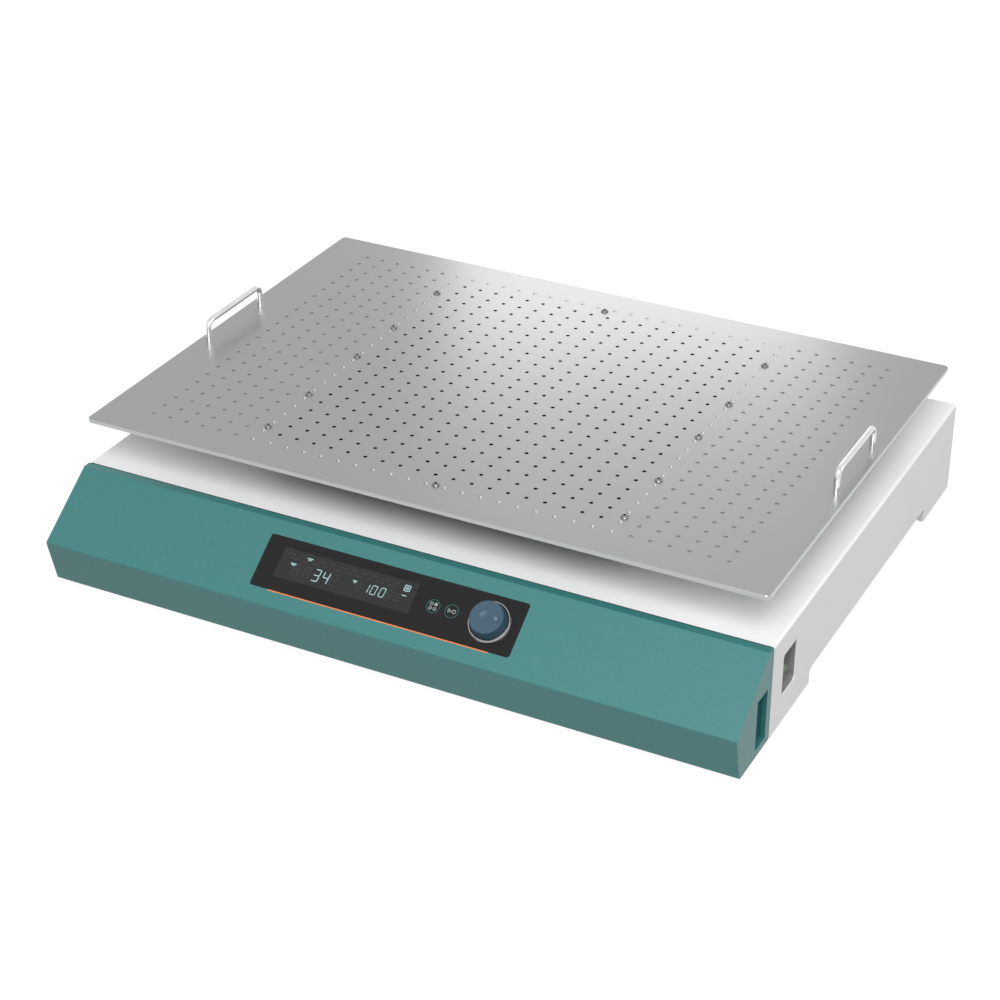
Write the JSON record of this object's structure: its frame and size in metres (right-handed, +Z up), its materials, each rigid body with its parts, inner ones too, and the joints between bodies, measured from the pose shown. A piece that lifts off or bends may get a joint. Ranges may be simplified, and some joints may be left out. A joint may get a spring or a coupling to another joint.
{
  "type": "orbital shaker",
  "caption": "Benchtop orbital shaker: low base with a slanted control fascia, and a perforated platform with two grips on a crank-driven carriage.",
  "frame": {"origin": "on the surface that the feet stand on, under the middle of the base's width and depth", "axes": "+X to the right as the operator faces the controls, +Y back from the controls, +Z up"},
  "size_m": [0.764, 0.6239, 0.1968],
  "materials": {
    "white_coat": "satin powder coat",
    "teal_moulding": "fine matt moulding",
    "plate_aluminium": "satin anodised",
    "frame_aluminium": "machined",
    "black_coat": "matt black",
    "sheet_steel": "zinc-coated sheet",
    "cast_housing": "cast, machined faces",
    "turned_steel": "turned",
    "bearing_steel": "ground",
    "screw_steel": "bright zinc",
    "dark_screw": "black oxide",
    "foot_rubber": "matt",
    "seal_rubber": "matt",
    "belt_rubber": "matt",
    "key_silicone": "matt",
    "lens_black": "gloss",
    "display_glass": "gloss",
    "strip_orange": "gloss",
    "key_black": "gloss",
    "key_ring_teal": "satin",
    "knob_blue": "satin",
    "ring_metal": "bright turned",
    "handle_steel": "polished",
    "grey_moulding": "fine matt moulding",
    "black_moulding": "matt",
    "rocker_green": "gloss",
    "board_green": "solder mask",
    "motor_black": "satin"
  },
  "bodies": {
    "base": {"cover": "white_coat", "floor_tray": "sheet_steel", "front_foot_rail": "white_coat", "rear_foot_rail": "white_coat", "rubber_feet": "foot_rubber", "foot_screws": "screw_steel", "cover_screws": "screw_steel", "front_bulkhead": "sheet_steel", "fascia": "teal_moulding", "fascia_screws": "screw_steel", "front_seal": "seal_rubber", "control_lens": "lens_black", "accent_strip": "strip_orange", "control_board": "board_green", "display_module": "display_glass", "key_mat": "key_silicone", "key_rings": "key_ring_teal", "encoder": "black_moulding", "knob_ring": "ring_metal", "switch_pocket": "grey_moulding", "switch_body": "black_moulding", "power_inlet": "black_moulding", "inlet_screws": "screw_steel", "power_supply": "sheet_steel", "motor_controller": "board_green", "mechanism_plate": "frame_aluminium", "chassis_screws": "dark_screw", "drive_housing": "cast_housing", "idler_housings": "cast_housing", "housing_screws": "dark_screw", "drive_bearings": "bearing_steel", "idler_bearings": "bearing_steel", "motor_mount": "sheet_steel", "motor_housing": "motor_black", "drive_belt": "belt_rubber", "splash_collars": "white_coat"},
    "drive_crank": {"drive_crank": "turned_steel", "drive_pulley": "cast_housing", "counterweight": "turned_steel", "counterweight_screws": "dark_screw"},
    "carriage": {"carriage_web": "black_coat", "carriage_frame": "frame_aluminium", "web_screws": "dark_screw", "carriage_bearings": "bearing_steel", "platform": "plate_aluminium", "platform_screws": "screw_steel", "handle_left": "handle_steel", "handle_right": "handle_steel", "handle_screws": "screw_steel"},
    "motor_rotor": {"motor_shaft": "turned_steel", "motor_pulley": "frame_aluminium"},
    "jog_knob": {"jog_knob": "knob_blue", "encoder_shaft": "turned_steel"},
    "mode_key": {"mode_key": "key_black"},
    "start_key": {"start_key": "key_black"},
    "power_rocker": {"power_rocker": "rocker_green"},
    "idler_front_left": {"idler_crank_front_left": "turned_steel"},
    "idler_front_right": {"idler_crank_front_right": "turned_steel"},
    "idler_rear_left": {"idler_crank_rear_left": "turned_steel"},
    "idler_rear_right": {"idler_crank_rear_right": "turned_steel"}
  },
  "joints": [
    {"name": "drive_spin", "type": "hinge", "parent": "base", "child": "drive_crank", "pos_m": [0, 0.0387, 0.112], "axis": [0, 0, 1], "continuous": true},
    {"name": "carriage_orbit", "type": "hinge", "parent": "drive_crank", "child": "carriage", "pos_m": [0, 0.0262, 0.148], "axis": [0, 0, 1], "continuous": true},
    {"name": "motor_spin", "type": "hinge", "parent": "base", "child": "motor_rotor", "pos_m": [-0.246, 0.0387, 0.09], "axis": [0, 0, 1], "continuous": true},
    {"name": "idler_front_left_spin", "type": "hinge", "parent": "base", "child": "idler_front_left", "pos_m": [-0.14, -0.1113, 0.112], "axis": [0, 0, 1], "continuous": true},
    {"name": "idler_front_right_spin", "type": "hinge", "parent": "base", "child": "idler_front_right", "pos_m": [0.14, -0.1113, 0.112], "axis": [0, 0, 1], "continuous": true},
    {"name": "idler_rear_left_spin", "type": "hinge", "parent": "base", "child": "idler_rear_left", "pos_m": [-0.14, 0.1887, 0.112], "axis": [0, 0, 1], "continuous": true},
    {"name": "idler_rear_right_spin", "type": "hinge", "parent": "base", "child": "idler_rear_right", "pos_m": [0.14, 0.1887, 0.112], "axis": [0, 0, 1], "continuous": true},
    {"name": "knob_turn", "type": "hinge", "parent": "base", "child": "jog_knob", "pos_m": [0.112, -0.27434, 0.0882], "axis": [0, -0.583, 0.8125], "continuous": true},
    {"name": "mode_key_press", "type": "slide", "parent": "base", "child": "mode_key", "axis": [0, 0.583, -0.8125], "range_m": [0, 0.0012], "stiffness_N_per_m": 400, "springref_m": -0.0005},
    {"name": "start_key_press", "type": "slide", "parent": "base", "child": "start_key", "axis": [0, 0.583, -0.8125], "range_m": [0, 0.0012], "stiffness_N_per_m": 400, "springref_m": -0.0005},
    {"name": "power_rocker_tilt", "type": "hinge", "parent": "base", "child": "power_rocker", "pos_m": [0.371, -0.182, 0.0651], "axis": [0, 1, 0], "range_deg": [-30, 0]}
  ],
  "couplings": [
    {"joint": "carriage_orbit", "follows": "drive_spin", "ratio": -1},
    {"joint": "motor_spin", "follows": "drive_spin", "ratio": 3.6},
    {"joint": "idler_front_left_spin", "follows": "drive_spin", "ratio": 1},
    {"joint": "idler_front_right_spin", "follows": "drive_spin", "ratio": 1},
    {"joint": "idler_rear_left_spin", "follows": "drive_spin", "ratio": 1},
    {"joint": "idler_rear_right_spin", "follows": "drive_spin", "ratio": 1}
  ]
}
